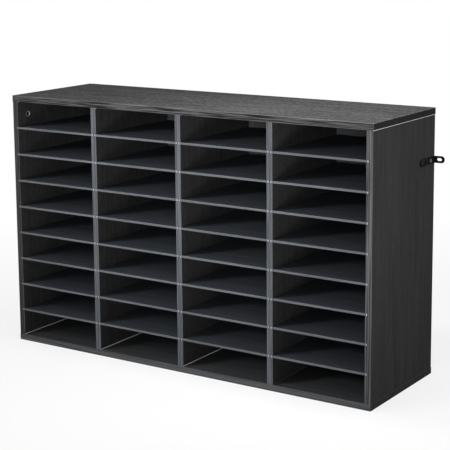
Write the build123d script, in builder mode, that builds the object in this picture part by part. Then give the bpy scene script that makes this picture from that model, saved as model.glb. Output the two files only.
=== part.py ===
from build123d import *
import math
import os

os.makedirs("parts", exist_ok=True)

# A literature organizer: an open-fronted cabinet with four columns of nine flat compartments.
# Foil-faced boards stand between a top and a base, and thin shelves slide into grooves in them.
# Millimetres. The front faces -Y, +Z is up, and the origin is under the middle of the base.
# Fasteners repeat, so they and their bores have flat sides: more where they show, fewer inside.
# A pin's corners lie on its nominal circle and a bore's flats touch its own, so each pin clears its bore.

# The cabinet
WIDTH = 1000.0
DEPTH = 305.0
HEIGHT = 625.0
BOARD = 15.0
SIDE_OVERHANG = 1.0
EDGE_BREAK = 0.6
OVERRUN = 1.0
ROUND_SIDES = 18
PIN_SIDES = 8
UPRIGHTS = ["left_side_panel", "divider_left", "divider_centre", "divider_right", "right_side_panel"]

# Shelves, and the grooves that carry them: each shelf lies on the floor of its two grooves
SHELVES_PER_COLUMN = 8
SHELF_THICKNESS = 5.0
SHELF_LIFT_PLAY = 0.4
SHELF_END_PLAY = 0.5
SHELF_BACK_PLAY = 0.5
SHELF_FRONT_RECESS = 0.3
SHELF_EDGE_BREAK = 0.5
DIVIDER_WEB = 5.0
END_COMPARTMENT_EXTRA = 2.0

# Back panels, one behind each column, in grooves all round
BACK_THICKNESS = 3.0
BACK_INSET = 10.0
BACK_FACE_PLAY = 0.3
BACK_EDGE_PLAY = 0.5

# Cam locks in the upper end of each upright, with a bolt in the top panel
CAM_BORE = 15.0
CAM_PLAY = 0.15
CAM_FROM_END = 34.0
CAM_FROM_EDGE = 38.5
CAM_FACE_RECESS = 0.3
CAM_FLOOR = 1.3
CAM_CHAMBER_ROOM = 1.85
CAM_SLOT_ARC = 230.0
CAM_SLOT_START = -40.0
CROSS_SPAN = 7.0
CROSS_BAR = 1.6
CROSS_DEPTH_SHARE = 0.65
ARROW_RADIUS = 1.5
ARROW_DEPTH = 0.6
ARROW_FROM_RIM = 2.2
BOLT_BORE = 8.0
BOLT_PLAY = 0.25
BOLT_PILOT = 5.0
BOLT_PILOT_PLAY = 0.1
BOLT_SHAFT_GAP = 1.0
BOLT_NECK = 4.4
BOLT_NECK_PLAY = 0.35
BOLT_HEAD = 6.6
BOLT_HEAD_PLAY = 0.4
BOLT_SEAT_GAP = 0.3
BOLT_HEAD_LENGTH = 2.0
BLIND_SKIN = 4.0
BLIND_END_PLAY = 0.5

# Dowels beside the cam locks
DOWEL_DIAMETER = 8.0
DOWEL_LENGTH = 30.0
DOWEL_PLAY = 0.15
DOWEL_FROM_CAM = 32.0

# Countersunk screws up through the base
BASE_SCREW_LENGTH = 50.0
BASE_SCREW_HEAD = 10.0
BASE_SCREW_SHANK = 6.8
BASE_SCREW_CORE = 4.8
BASE_SCREW_PLAY = 0.25
BASE_SCREW_RECESS = 0.5
BASE_SCREW_SOCKET = 4.0
BASE_SCREW_SOCKET_DEPTH = 2.5
COUNTERSINK_ANGLE = 45.0

# Wall brackets: a bent strap on the outside of each side panel, and its screw
STRAP_WIDTH = 16.0
STRAP_THICKNESS = 2.0
STRAP_BEND = 2.0
STRAP_END_ROUND_SHARE = 0.48
SIDE_LEG = 78.5
WALL_LEG = 25.3
BRACKET_BELOW_TOP = 118.5
SLOT_WIDTH = 6.5
SIDE_SLOT_LENGTH = 15.0
SIDE_SLOT_FROM_END = 19.5
WALL_SLOT_LENGTH = 12.0
WALL_SLOT_FROM_SIDE = 13.0
BRACKET_SCREW_FROM_REAR = 24.7
BRACKET_SCREW_SHANK = 4.0
BRACKET_SCREW_PLAY = 0.2
BRACKET_SCREW_GRIP = 11.0
BRACKET_SCREW_HEAD = 8.0
BRACKET_SCREW_HEAD_HEIGHT = 2.4
BRACKET_SCREW_BEVEL = 1.2
BRACKET_CROSS_SPAN = 4.2
BRACKET_CROSS_BAR = 1.0
BRACKET_CROSS_DEPTH = 1.4

# Planes of the cabinet
columns = len(UPRIGHTS) - 1
outer_x = WIDTH / 2 - SIDE_OVERHANG
front_y = -DEPTH / 2
rear_y = DEPTH / 2
ceiling_z = HEIGHT - BOARD
inner_height = ceiling_z - BOARD
upright_pitch = (2 * outer_x - BOARD) / columns
upright_x = [-outer_x + BOARD / 2 + i * upright_pitch for i in range(columns + 1)]
column_x = [x + upright_pitch / 2 for x in upright_x[:-1]]
column_width = upright_pitch - BOARD
groove_depth = (BOARD - DIVIDER_WEB) / 2

# Back panels stand against the rear wall of their groove
back_rear_y = rear_y - BACK_INSET
back_front_y = back_rear_y - BACK_THICKNESS
back_groove_width = BACK_THICKNESS + BACK_FACE_PLAY
back_groove_y = back_rear_y - back_groove_width / 2
back_groove_span = 2 * (outer_x - BOARD + groove_depth)

# Shelves share the height evenly, but for the taller first and last compartments
free_height = inner_height - SHELVES_PER_COLUMN * SHELF_THICKNESS - 2 * END_COMPARTMENT_EXTRA
compartment_height = free_height / (SHELVES_PER_COLUMN + 1)
shelf_pitch = compartment_height + SHELF_THICKNESS
top_shelf_floor = ceiling_z - END_COMPARTMENT_EXTRA - shelf_pitch
shelf_floor_z = [top_shelf_floor - level * shelf_pitch for level in range(SHELVES_PER_COLUMN)]
shelf_front_y = front_y + SHELF_FRONT_RECESS
shelf_depth = back_front_y - SHELF_BACK_PLAY - shelf_front_y
shelf_width = column_width + 2 * (groove_depth - SHELF_END_PLAY)
shelf_groove_height = SHELF_THICKNESS + SHELF_LIFT_PLAY
shelf_groove_start = front_y - OVERRUN
shelf_groove_run = back_groove_y - shelf_groove_start
shelf_groove_y = shelf_groove_start + shelf_groove_run / 2

# Fastener places along the depth, and the depths of their bores
fastener_y = [front_y + CAM_FROM_EDGE, rear_y - CAM_FROM_EDGE]
dowel_y = [fastener_y[0] + DOWEL_FROM_CAM, fastener_y[1] - DOWEL_FROM_CAM]
blind_depth = BOARD - BLIND_SKIN
dowel_bore = DOWEL_DIAMETER + 2 * DOWEL_PLAY
dowel_in_board = blind_depth - BLIND_END_PLAY
dowel_in_upright = DOWEL_LENGTH - dowel_in_board
dowel_upright_depth = dowel_in_upright + BLIND_END_PLAY

# The cam lock grips the bolt's head on the middle plane of the upright
cam_z = ceiling_z - CAM_FROM_END
bolt_axis_depth = BOARD / 2
cam_radius = CAM_BORE / 2 - CAM_PLAY
chamber_half_height = BOLT_HEAD / 2 + BOLT_HEAD_PLAY
chamber_radius = BOLT_HEAD / 2 + CAM_CHAMBER_ROOM
cam_bore_depth = bolt_axis_depth + chamber_half_height + CAM_FLOOR
cam_height = cam_bore_depth - CAM_FACE_RECESS
cam_cap = bolt_axis_depth - chamber_half_height - CAM_FACE_RECESS
neck_slot_height = BOLT_NECK + 2 * BOLT_NECK_PLAY

# Base screws and bracket screws
base_screw_in_upright = BASE_SCREW_LENGTH + BASE_SCREW_RECESS - BOARD + BLIND_END_PLAY
base_hole = BASE_SCREW_SHANK + 2 * BASE_SCREW_PLAY
base_sink_radius = BASE_SCREW_HEAD / 2 + BASE_SCREW_PLAY + BASE_SCREW_RECESS
countersink_slope = math.tan(math.radians(COUNTERSINK_ANGLE))
base_sink_depth = (base_sink_radius - base_hole / 2) / countersink_slope
base_head_depth = (BASE_SCREW_HEAD - BASE_SCREW_SHANK) / 2 / countersink_slope
base_pilot = BASE_SCREW_CORE + 2 * BASE_SCREW_PLAY
bracket_z = HEIGHT - BRACKET_BELOW_TOP
bracket_screw_y = rear_y - BRACKET_SCREW_FROM_REAR
bracket_hole = BRACKET_SCREW_SHANK + 2 * BRACKET_SCREW_PLAY


def finish(piece, label):
    """Name a finished piece and write it to its own file."""
    piece.label = label
    export_step(piece, f"parts/{label}.step")


def upright(index):
    """A standing board, grooved on each face that looks into a column, bored for its fasteners."""
    mid_x = upright_x[index]
    grooved_sides = [side for side in (-1, 1) if 0 <= index + (side - 1) / 2 < columns]
    cam_side = 1 if index == 0 else -1
    with BuildPart() as board:
        with BuildSketch(Plane.XY.offset(BOARD)):
            with Locations((mid_x, 0)):
                Rectangle(BOARD, DEPTH)
        extrude(amount=inner_height)
        chamfer(board.edges().filter_by(Axis.Z), EDGE_BREAK)
        for side in grooved_sides:
            with BuildSketch(Plane.YZ.offset(mid_x + side * BOARD / 2)):
                with Locations(*[(shelf_groove_y, z + shelf_groove_height / 2) for z in shelf_floor_z]):
                    Rectangle(shelf_groove_run, shelf_groove_height)
                with Locations((back_groove_y, HEIGHT / 2)):
                    Rectangle(back_groove_width, inner_height)
            extrude(amount=-side * groove_depth, mode=Mode.SUBTRACT)
        with BuildSketch(Plane.YZ.offset(mid_x + cam_side * BOARD / 2)):
            with Locations(*[(y, cam_z) for y in fastener_y]):
                RegularPolygon(CAM_BORE / 2, ROUND_SIDES, major_radius=False)
        extrude(amount=-cam_side * cam_bore_depth, mode=Mode.SUBTRACT)
        with BuildSketch(Plane.XY.offset(ceiling_z)):
            with Locations(*[(mid_x, y) for y in fastener_y]):
                RegularPolygon(BOLT_BORE / 2, PIN_SIDES, major_radius=False)
        extrude(amount=-CAM_FROM_END, mode=Mode.SUBTRACT)
        with BuildSketch(Plane.XY.offset(ceiling_z)):
            with Locations(*[(mid_x, y) for y in dowel_y]):
                RegularPolygon(dowel_bore / 2, PIN_SIDES, major_radius=False)
        extrude(amount=-dowel_upright_depth, mode=Mode.SUBTRACT)
        with BuildSketch(Plane.XY.offset(BOARD)):
            with Locations(*[(mid_x, y) for y in fastener_y]):
                RegularPolygon(base_pilot / 2, PIN_SIDES, major_radius=False)
        extrude(amount=base_screw_in_upright, mode=Mode.SUBTRACT)
        if len(grooved_sides) == 1:
            outward = -grooved_sides[0]
            with BuildSketch(Plane.YZ.offset(outward * outer_x)):
                with Locations((bracket_screw_y, bracket_z)):
                    RegularPolygon(bracket_hole / 2, PIN_SIDES, major_radius=False)
            extrude(amount=-outward * (BRACKET_SCREW_GRIP + BLIND_END_PLAY), mode=Mode.SUBTRACT)
    return board.part


# Top panel: bolt pilots and dowel bores in its underside, and the groove for the back panels
with BuildPart() as top_panel:
    with BuildSketch(Plane.XY.offset(ceiling_z)):
        Rectangle(WIDTH, DEPTH)
    extrude(amount=BOARD)
    chamfer(top_panel.edges(), EDGE_BREAK)
    with BuildSketch(Plane.XY.offset(ceiling_z)):
        with Locations((0, back_groove_y)):
            Rectangle(back_groove_span, back_groove_width)
    extrude(amount=groove_depth, mode=Mode.SUBTRACT)
    with BuildSketch(Plane.XY.offset(ceiling_z)):
        with Locations(*[(x, y) for x in upright_x for y in fastener_y]):
            RegularPolygon(BOLT_PILOT / 2, PIN_SIDES, major_radius=False)
        with Locations(*[(x, y) for x in upright_x for y in dowel_y]):
            RegularPolygon(dowel_bore / 2, PIN_SIDES, major_radius=False)
    extrude(amount=blind_depth, mode=Mode.SUBTRACT)
finish(top_panel.part, "top_panel")

# Base: the back panels' groove above, and countersunk screw holes from below
with BuildPart() as bottom_panel:
    with BuildSketch():
        Rectangle(WIDTH, DEPTH)
    extrude(amount=BOARD)
    chamfer(bottom_panel.edges(), EDGE_BREAK)
    with BuildSketch(Plane.XY.offset(BOARD)):
        with Locations((0, back_groove_y)):
            Rectangle(back_groove_span, back_groove_width)
    extrude(amount=-groove_depth, mode=Mode.SUBTRACT)
    with BuildSketch():
        with Locations(*[(x, y) for x in upright_x for y in fastener_y]):
            RegularPolygon(base_hole / 2, PIN_SIDES, major_radius=False)
    extrude(amount=BOARD, mode=Mode.SUBTRACT)
    with BuildSketch():
        with Locations(*[(x, y) for x in upright_x for y in fastener_y]):
            RegularPolygon(base_sink_radius, ROUND_SIDES, major_radius=False)
    extrude(amount=base_sink_depth, taper=COUNTERSINK_ANGLE, mode=Mode.SUBTRACT)
finish(bottom_panel.part, "bottom_panel")

# Side panels and dividers
for index, name in enumerate(UPRIGHTS):
    finish(upright(index), name)

# Back panels stand in the base's groove
back_foot_z = BOARD - groove_depth
back_height = ceiling_z + groove_depth - BACK_EDGE_PLAY - back_foot_z
back_width = column_width + 2 * (groove_depth - BACK_EDGE_PLAY)
for column, mid_x in enumerate(column_x):
    with BuildPart() as back_panel:
        with BuildSketch(Plane.XY.offset(back_foot_z)):
            with Locations((mid_x, back_rear_y - BACK_THICKNESS / 2)):
                Rectangle(back_width, BACK_THICKNESS)
        extrude(amount=back_height)
    finish(back_panel.part, f"back_panel_col{column + 1}")

# Shelves, counted from the top in each column, with a banded front edge
for column, mid_x in enumerate(column_x):
    for level, floor_z in enumerate(shelf_floor_z):
        with BuildPart() as shelf:
            with BuildSketch(Plane.XY.offset(floor_z)):
                with Locations((mid_x, shelf_front_y + shelf_depth / 2)):
                    Rectangle(shelf_width, shelf_depth)
            extrude(amount=SHELF_THICKNESS)
            front_face = shelf.faces().sort_by(Axis.Y)[0]
            chamfer(front_face.edges().filter_by(Axis.X), SHELF_EDGE_BREAK)
        finish(shelf.part, f"shelf_col{column + 1}_level{level + 1}")

# One cam lock, its face in the plane of the board and +X towards the bolt.
# The head enters by the round port, and its neck runs along the slot as the cam turns.
slot_start = math.radians(CAM_SLOT_START)
slot_end = math.radians(CAM_SLOT_START + CAM_SLOT_ARC)
slot_reach = cam_radius + OVERRUN
port_way = (math.cos(slot_end), math.sin(slot_end), 0)
with BuildPart() as cam_lock:
    with BuildSketch(Plane.XY.offset(-cam_bore_depth)):
        RegularPolygon(cam_radius, ROUND_SIDES)
    extrude(amount=cam_height)
    with BuildSketch(Plane.XY.offset(-bolt_axis_depth - chamber_half_height)):
        RegularPolygon(chamber_radius, PIN_SIDES, major_radius=False, rotation=180 / PIN_SIDES)
    extrude(amount=2 * chamber_half_height, mode=Mode.SUBTRACT)
    with BuildSketch(Plane.XY.offset(-bolt_axis_depth - neck_slot_height / 2)):
        with BuildLine():
            slot_rim = CenterArc((0, 0), slot_reach, CAM_SLOT_START, CAM_SLOT_ARC)
            Polyline(slot_rim @ 1, (0, 0), slot_rim @ 0)
        make_face()
    extrude(amount=neck_slot_height, mode=Mode.SUBTRACT)
    with BuildSketch(Plane((0, 0, -bolt_axis_depth), (0, 0, 1), port_way)):
        RegularPolygon(chamber_half_height, PIN_SIDES, major_radius=False)
    extrude(amount=slot_reach, mode=Mode.SUBTRACT)
    with BuildSketch(Plane.XY.offset(-CAM_FACE_RECESS)):
        Rectangle(CROSS_SPAN, CROSS_BAR)
        Rectangle(CROSS_BAR, CROSS_SPAN)
    extrude(amount=-CROSS_DEPTH_SHARE * cam_cap, mode=Mode.SUBTRACT)
    with BuildSketch(Plane.XY.offset(-CAM_FACE_RECESS)):
        with Locations((cam_radius - ARROW_FROM_RIM, 0)):
            RegularPolygon(ARROW_RADIUS, 3)
    extrude(amount=-ARROW_DEPTH, mode=Mode.SUBTRACT)

with BuildPart() as cam_locks:
    for index, mid_x in enumerate(upright_x):
        cam_side = 1 if index == 0 else -1
        face_x = mid_x + cam_side * BOARD / 2
        with Locations(*[Plane((face_x, y, cam_z), (0, 0, 1), (cam_side, 0, 0)) for y in fastener_y]):
            add(cam_lock.part)
finish(cam_locks.part, "cam_locks")

# One cam bolt, +Z into the upright from the underside of the top panel
bolt_core = BOLT_PILOT / 2 - BOLT_PILOT_PLAY
bolt_shaft = BOLT_BORE / 2 - BOLT_PLAY
bolt_shaft_end = CAM_FROM_END - CAM_BORE / 2 - BOLT_SHAFT_GAP
head_radius = BOLT_HEAD / 2
head_start = CAM_FROM_END - chamber_radius + BOLT_SEAT_GAP
head_full = CAM_FROM_END - math.sqrt(chamber_radius**2 - head_radius**2) + BOLT_SEAT_GAP
with BuildPart() as cam_bolt:
    with BuildSketch(Plane.XY.offset(-dowel_in_board)):
        RegularPolygon(bolt_core, PIN_SIDES)
    extrude(amount=dowel_in_board)
    with BuildSketch():
        RegularPolygon(bolt_shaft, PIN_SIDES)
    extrude(amount=bolt_shaft_end)
    with BuildSketch(Plane.XY.offset(bolt_shaft_end)):
        RegularPolygon(BOLT_NECK / 2, PIN_SIDES)
    extrude(amount=head_start - bolt_shaft_end)
    with BuildSketch(Plane.XY.offset(head_start)):
        RegularPolygon(BOLT_NECK / 2, PIN_SIDES)
    with BuildSketch(Plane.XY.offset(head_full)):
        RegularPolygon(head_radius, PIN_SIDES)
    loft(ruled=True)
    with BuildSketch(Plane.XY.offset(head_full)):
        RegularPolygon(head_radius, PIN_SIDES)
    extrude(amount=BOLT_HEAD_LENGTH)

with BuildPart() as cam_bolts:
    with Locations(*[Plane((x, y, ceiling_z), (1, 0, 0), (0, 0, -1)) for x in upright_x for y in fastener_y]):
        add(cam_bolt.part)
finish(cam_bolts.part, "cam_bolts")

# Dowels stand in the uprights, with their upper third in the top panel
with BuildPart() as wood_dowels:
    with BuildSketch(Plane.XY.offset(ceiling_z - dowel_in_upright)):
        with Locations(*[(x, y) for x in upright_x for y in dowel_y]):
            RegularPolygon(DOWEL_DIAMETER / 2, PIN_SIDES)
    extrude(amount=DOWEL_LENGTH)
finish(wood_dowels.part, "wood_dowels")

# One base screw, standing on its head: countersunk cone, plain shank in the base, core in the upright
base_shank_start = BASE_SCREW_RECESS + base_head_depth
base_screw_tip = BASE_SCREW_RECESS + BASE_SCREW_LENGTH
with BuildPart() as base_screw:
    with BuildSketch(Plane.XY.offset(BASE_SCREW_RECESS)):
        RegularPolygon(BASE_SCREW_HEAD / 2, ROUND_SIDES)
    extrude(amount=base_head_depth, taper=COUNTERSINK_ANGLE)
    with BuildSketch(Plane.XY.offset(base_shank_start)):
        RegularPolygon(BASE_SCREW_SHANK / 2, PIN_SIDES)
    extrude(amount=BOARD - base_shank_start)
    with BuildSketch(Plane.XY.offset(BOARD)):
        RegularPolygon(BASE_SCREW_CORE / 2, PIN_SIDES)
    extrude(amount=base_screw_tip - BOARD)
    with BuildSketch(Plane.XY.offset(BASE_SCREW_RECESS)):
        RegularPolygon(BASE_SCREW_SOCKET / 2, 6, major_radius=False)
    extrude(amount=BASE_SCREW_SOCKET_DEPTH, mode=Mode.SUBTRACT)

with BuildPart() as base_screws:
    with Locations(*[(x, y) for x in upright_x for y in fastener_y]):
        add(base_screw.part)
finish(base_screws.part, "base_screws")

# Wall bracket: the long leg lies on the side panel, the short leg lies against the wall
leg_front_y = rear_y - SIDE_LEG
strap_face_x = outer_x + STRAP_THICKNESS
strap_face_y = rear_y - STRAP_THICKNESS
wall_leg_x = outer_x + WALL_LEG
strap_end_round = STRAP_WIDTH * STRAP_END_ROUND_SHARE
with BuildPart() as wall_bracket_right:
    with BuildSketch(Plane.XY.offset(bracket_z - STRAP_WIDTH / 2)) as strap_profile:
        with BuildLine():
            Polyline(
                (outer_x, leg_front_y),
                (strap_face_x, leg_front_y),
                (strap_face_x, strap_face_y),
                (wall_leg_x, strap_face_y),
                (wall_leg_x, rear_y),
                (outer_x, rear_y),
                close=True,
            )
        make_face()
        fillet(strap_profile.vertices().sort_by_distance((outer_x, rear_y))[0], STRAP_BEND + STRAP_THICKNESS)
        fillet(strap_profile.vertices().sort_by_distance((strap_face_x, strap_face_y))[0], STRAP_BEND)
    extrude(amount=STRAP_WIDTH)
    fillet(wall_bracket_right.edges().filter_by(Axis.X).group_by(Axis.Y)[0], strap_end_round)
    fillet(wall_bracket_right.edges().filter_by(Axis.Y).group_by(Axis.X)[-1], strap_end_round)
    with BuildSketch(Plane.YZ.offset(outer_x)):
        with Locations((leg_front_y + SIDE_SLOT_FROM_END, bracket_z)):
            SlotOverall(SIDE_SLOT_LENGTH, SLOT_WIDTH)
        with Locations((bracket_screw_y, bracket_z)):
            Circle(bracket_hole / 2)
    extrude(amount=STRAP_THICKNESS, mode=Mode.SUBTRACT)
    with BuildSketch(Plane.XZ.offset(-rear_y)):
        with Locations((outer_x + WALL_SLOT_FROM_SIDE, bracket_z)):
            SlotOverall(WALL_SLOT_LENGTH, SLOT_WIDTH)
    extrude(amount=STRAP_THICKNESS, mode=Mode.SUBTRACT)
finish(wall_bracket_right.part, "wall_bracket_right")

with BuildPart() as wall_bracket_left:
    mirror(wall_bracket_right.part, about=Plane.YZ)
finish(wall_bracket_left.part, "wall_bracket_left")

# One bracket screw, its bevelled head on the strap and +Z outwards
bracket_shank_length = STRAP_THICKNESS + BRACKET_SCREW_GRIP
with BuildPart() as bracket_screw:
    with BuildSketch(Plane.XY.offset(-bracket_shank_length)):
        RegularPolygon(BRACKET_SCREW_SHANK / 2, PIN_SIDES)
    extrude(amount=bracket_shank_length)
    with BuildSketch():
        RegularPolygon(BRACKET_SCREW_HEAD / 2, ROUND_SIDES)
    extrude(amount=BRACKET_SCREW_HEAD_HEIGHT)
    chamfer(bracket_screw.faces().sort_by(Axis.Z)[-1].edges(), BRACKET_SCREW_BEVEL)
    with BuildSketch(Plane.XY.offset(BRACKET_SCREW_HEAD_HEIGHT)):
        Rectangle(BRACKET_CROSS_SPAN, BRACKET_CROSS_BAR)
        Rectangle(BRACKET_CROSS_BAR, BRACKET_CROSS_SPAN)
    extrude(amount=-BRACKET_CROSS_DEPTH, mode=Mode.SUBTRACT)

with BuildPart() as bracket_screws:
    for outward in (-1, 1):
        seat = Plane((outward * strap_face_x, bracket_screw_y, bracket_z), (0, 1, 0), (outward, 0, 0))
        with Locations(seat):
            add(bracket_screw.part)
finish(bracket_screws.part, "bracket_screws")
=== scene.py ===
# %% [markdown]
# # A literature organizer in black wood-grain board
#
# The cabinet is flat-pack furniture: foil-faced boards, thin shelves in grooves, and zinc fittings.
# Its shape is already right in the CAD model, so this lesson loads that model as a fixed frame,
# dresses it with materials, and remakes in finer detail only the small metal and wooden fittings.
# Everything is in metres: the front faces -Y, +Z is up, and the origin is under the base.

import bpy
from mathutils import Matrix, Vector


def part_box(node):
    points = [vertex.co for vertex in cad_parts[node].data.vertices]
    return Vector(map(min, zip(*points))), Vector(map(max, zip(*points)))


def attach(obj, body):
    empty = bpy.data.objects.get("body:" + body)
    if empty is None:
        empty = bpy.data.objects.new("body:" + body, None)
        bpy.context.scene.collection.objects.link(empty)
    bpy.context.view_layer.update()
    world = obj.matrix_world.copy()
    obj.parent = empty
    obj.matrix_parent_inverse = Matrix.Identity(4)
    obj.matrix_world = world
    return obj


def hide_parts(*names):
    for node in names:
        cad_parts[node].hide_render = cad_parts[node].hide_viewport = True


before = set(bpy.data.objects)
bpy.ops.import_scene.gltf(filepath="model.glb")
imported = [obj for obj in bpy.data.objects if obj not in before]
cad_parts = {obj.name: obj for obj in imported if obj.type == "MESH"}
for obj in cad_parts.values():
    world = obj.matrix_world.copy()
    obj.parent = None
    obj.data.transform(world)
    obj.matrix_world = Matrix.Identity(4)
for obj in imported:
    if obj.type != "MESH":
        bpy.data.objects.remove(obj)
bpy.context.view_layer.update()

# %% [markdown]
# ## Where the boards are
#
# Every finish below depends on places on the boards: the front edges carry an edge band, and the ends of the
# uprights get a thin pale line. The places could be typed in, but reading them from the imported nodes keeps
# them right if the cabinet is ever made in another size.

# %% Measure the boards
MM = 0.001
UPRIGHTS = ["left_side_panel", "divider_left", "divider_centre", "divider_right", "right_side_panel"]
SHELVES = sorted(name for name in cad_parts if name.startswith("shelf_"))

front_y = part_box("top_panel")[0].y
top_end_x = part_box("top_panel")[1].x
ceiling_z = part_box("top_panel")[0].z
floor_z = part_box("bottom_panel")[1].z
side_face_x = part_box("right_side_panel")[1].x
shelf_front_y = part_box(SHELVES[0])[0].y
upright_x = [(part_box(name)[0].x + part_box(name)[1].x) / 2 for name in UPRIGHTS]
upright_pitch = upright_x[1] - upright_x[0]
shelf_end_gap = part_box("shelf_col2_level1")[0].x - upright_x[1]
print("uprights at x =", [round(x / MM, 2) for x in upright_x], "mm,", len(SHELVES), "shelves")

# %% [markdown]
# ## The camera
#
# The photograph looks at the cabinet from the right, a little above the top, with a long lens.
# The camera's place, turn and lens were found by matching the corners of the cabinet. The uprights
# stay nearly parallel in the photograph, so part of the downward look is lens shift, not tilt.

# %% Place the camera
import math

import bpy
from mathutils import Euler, Matrix, Vector

CAMERA_PLACE = (1.7819, -2.6463, 1.0198)
CAMERA_DIP = math.radians(9.44)
CAMERA_SWING = math.radians(33.521)
CAMERA_ROLL = math.radians(-0.47)
SENSOR_MM = 36
FOCAL_MM = 108.6
LENS_SHIFT = -0.15


def put_in_scene(name, data):
    """A new object in the scene."""
    made = bpy.data.objects.new(name, data)
    bpy.context.scene.collection.objects.link(made)
    return made


lens = bpy.data.cameras.new("photo_camera")
lens.sensor_width = SENSOR_MM
lens.lens = FOCAL_MM
lens.shift_y = LENS_SHIFT
camera = put_in_scene("photo_camera", lens)
turn = Euler((math.radians(90) - CAMERA_DIP, 0, CAMERA_SWING)).to_matrix()
turn = turn @ Matrix.Rotation(CAMERA_ROLL, 3, "Z")
camera.matrix_world = Matrix.Translation(CAMERA_PLACE) @ turn.to_4x4()
bpy.context.scene.camera = camera
bpy.context.scene.view_settings.view_transform = "Standard"
print("camera at", CAMERA_PLACE, "with a", FOCAL_MM, "mm lens")

# %% [markdown]
# ## Node helpers
#
# Materials here are node graphs written in code. Small helpers keep them readable: one makes a node
# and fills its sockets with numbers or links, four do arithmetic, one stretches a range, and one
# mixes colours. Tones are written as the grey level seen on a screen, 0 to 255, and turned into
# linear light.

# %% Tones
GREEN_SHARE = 0.4
WHITE = (1.0, 1.0, 1.0, 1.0)


def linear(level):
    """Linear light for a screen level from 0 to 255, by the usual screen curve."""
    share = level / 255
    return share / 12.92 if share <= 0.04045 else ((share + 0.055) / 1.055) ** 2.4


def tone(level, warm=0.0, cool=0.0):
    """A grey of that screen level, with a little more red or blue in it."""
    green = level + GREEN_SHARE * (warm + cool)
    return (linear(level + warm), linear(green), linear(level + cool), 1.0)


print("grey 48 is", round(linear(48), 4), "in linear light")


# %% Nodes and sums
def fill(tree, socket, value):
    """Link a socket to another node's output, or set its number."""
    if isinstance(value, bpy.types.NodeSocket):
        tree.links.new(value, socket)
    else:
        socket.default_value = value


def add_node(tree, kind, sockets=None, **settings):
    """A new node, with its settings made and its sockets linked or filled."""
    made = tree.nodes.new(kind)
    for key, value in settings.items():
        setattr(made, key, value)
    for key, value in (sockets or {}).items():
        fill(tree, made.inputs[key], value)
    return made


def sum_up(tree, operation, *values):
    """The result of one arithmetic step."""
    return add_node(tree, "ShaderNodeMath", dict(enumerate(values)), operation=operation).outputs[0]


def plus(tree, first, second):
    """Two values added."""
    return sum_up(tree, "ADD", first, second)


def minus(tree, first, second):
    """The second value taken from the first."""
    return sum_up(tree, "SUBTRACT", first, second)


def times(tree, first, second):
    """Two values multiplied."""
    return sum_up(tree, "MULTIPLY", first, second)


print("helpers for nodes and sums ready")


# %% Ranges and colours
def ramp(tree, value, low, high, to_low=0.0, to_high=1.0):
    """A value stretched from one range to another and held inside it."""
    sockets = {0: value, 1: low, 2: high, 3: to_low, 4: to_high}
    return add_node(tree, "ShaderNodeMapRange", sockets, clamp=True).outputs[0]


def mix_tone(tree, share, first, second):
    """Two colours mixed by a share from 0 to 1."""
    return add_node(tree, "ShaderNodeMix", {0: share, 6: first, 7: second}, data_type="RGBA").outputs[2]


print("helpers for ranges and colours ready")

# %% [markdown]
# ## Floor and surroundings
#
# The photograph is a cut-out on white. A plain pale floor takes the soft shadow, and a white
# surround is what the camera, the gloss of the foil and the metal see. The surround gives the
# object a lower, even light, so that white paper behind it doesn't mean glare on it. For the same
# reason the floor is a darker grey to the light that it throws back up.

# %% White surround
SURROUND_LIGHT = 0.52
SURROUND_TONE = 250


def bare_tree(holder):
    """The emptied node tree of a world or a material."""
    holder.use_nodes = True
    holder.node_tree.nodes.clear()
    return holder.node_tree


def seen_directly(tree):
    """1 for rays from the camera, from gloss and through glass, else 0."""
    path = add_node(tree, "ShaderNodeLightPath").outputs
    seen = sum_up(tree, "MAXIMUM", path["Is Camera Ray"], path["Is Glossy Ray"])
    return sum_up(tree, "MAXIMUM", seen, path["Is Transmission Ray"])


def end_in_mix(tree, output, share, first, second):
    """End a tree in two shaders mixed by a share."""
    sockets = {0: share, 1: first.outputs[0], 2: second.outputs[0]}
    add_node(tree, output, {"Surface": add_node(tree, "ShaderNodeMixShader", sockets).outputs[0]})


world = bpy.data.worlds.new("white_surround")
tree = bare_tree(world)
lit = add_node(tree, "ShaderNodeBackground", {"Color": tone(SURROUND_TONE), "Strength": SURROUND_LIGHT})
seen = add_node(tree, "ShaderNodeBackground", {"Color": WHITE, "Strength": 1.0})
end_in_mix(tree, "ShaderNodeOutputWorld", seen_directly(tree), lit, seen)
bpy.context.scene.world = world
print("surround light", SURROUND_LIGHT)

# %% Paper floor
FLOOR_REACH = 14.0
FLOOR_TONE = 246
FLOOR_BOUNCE_TONE = 170
SHADOW_REACH = (0.5, 1.8)
WHITE_SHARE_NEAR = 0.78

paper = bpy.data.materials.new("white_paper_floor")
tree = bare_tree(paper)
place = add_node(tree, "ShaderNodeTexCoord").outputs["Object"]
reach = add_node(tree, "ShaderNodeVectorMath", {0: place}, operation="LENGTH").outputs["Value"]
white_share = times(tree, ramp(tree, reach, *SHADOW_REACH, WHITE_SHARE_NEAR, 1.0), seen_directly(tree))
shade = mix_tone(tree, seen_directly(tree), tone(FLOOR_BOUNCE_TONE), tone(FLOOR_TONE))
matt = add_node(tree, "ShaderNodeBsdfDiffuse", {"Color": shade})
white = add_node(tree, "ShaderNodeEmission", {"Color": WHITE, "Strength": 1.0})
end_in_mix(tree, "ShaderNodeOutputMaterial", white_share, matt, white)

sheet = bpy.data.meshes.new("floor")
corners = [(x * FLOOR_REACH, y * FLOOR_REACH, 0) for x, y in ((-1, -1), (1, -1), (1, 1), (-1, 1))]
sheet.from_pydata(corners, [], [(0, 1, 2, 3)])
sheet.materials.append(paper)
floor = put_in_scene("floor", sheet)
print("floor is", 2 * FLOOR_REACH, "m wide")

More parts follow.
